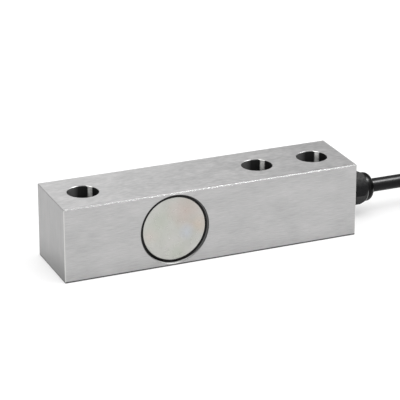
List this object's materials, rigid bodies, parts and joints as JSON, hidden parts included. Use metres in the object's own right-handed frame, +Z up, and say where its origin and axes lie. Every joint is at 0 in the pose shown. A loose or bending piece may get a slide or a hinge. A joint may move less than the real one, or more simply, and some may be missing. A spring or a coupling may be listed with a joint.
{
  "type": "shear beam load cell",
  "caption": "Square steel bar that weighs by shear in its web: a load hole at one end, fixing holes at the other, sealed gauge pockets in its sides, and a cable gland with a lead.",
  "frame": {"origin": "on the mounting face, midway between the two fixing holes", "axes": "+X along the beam towards its cable end, +Z up through the holes, +Y towards the rear pocket"},
  "size_m": [0.3113, 0.068, 0.0318],
  "materials": {
    "beam_steel": "ground and nickel plated, satin",
    "cover_steel": "smooth satin",
    "sealant": "semi-gloss",
    "gauge_film": "amber film with a metal grid",
    "board": "solder resist, satin",
    "chip": "ceramic chip with tinned caps",
    "enamel_wire": "enamelled copper",
    "web_wire": "insulated wire",
    "gland_plastic": "moulded, satin",
    "gland_rubber": "matt",
    "jacket": "extruded, satin",
    "core_red": "insulation",
    "core_black": "insulation",
    "core_green": "insulation",
    "core_white": "insulation",
    "sleeve": "shrunk tube",
    "tinned_copper": "tinned strands",
    "tie_nylon": "moulded nylon"
  },
  "bodies": {
    "root": {"beam_body": "beam_steel", "front_cover": "cover_steel", "rear_cover": "cover_steel", "front_seal_bead": "sealant", "rear_seal_bead": "sealant", "front_strain_gauge": "gauge_film", "rear_strain_gauge": "gauge_film", "front_terminal_strip": "board", "rear_bridge_board": "board", "rear_trim_resistors": "chip", "front_jumper_wires": "enamel_wire", "rear_jumper_wires": "enamel_wire", "web_wires": "web_wire", "gland_gasket": "gland_rubber", "gland_body": "gland_plastic", "gland_claw": "gland_plastic", "gland_bush": "gland_rubber", "gland_nut": "gland_plastic", "core_red": "core_red", "core_black": "core_black", "core_green": "core_green", "core_white": "core_white", "cable_run": "jacket", "cable_hank": "jacket", "hank_tie_near": "tie_nylon", "hank_tie_far": "tie_nylon", "end_sleeve": "sleeve", "tail_red": "core_red", "tail_black": "core_black", "tail_green": "core_green", "tail_white": "core_white", "tail_tips": "tinned_copper", "screen_tail": "tinned_copper"}
  },
  "joints": []
}
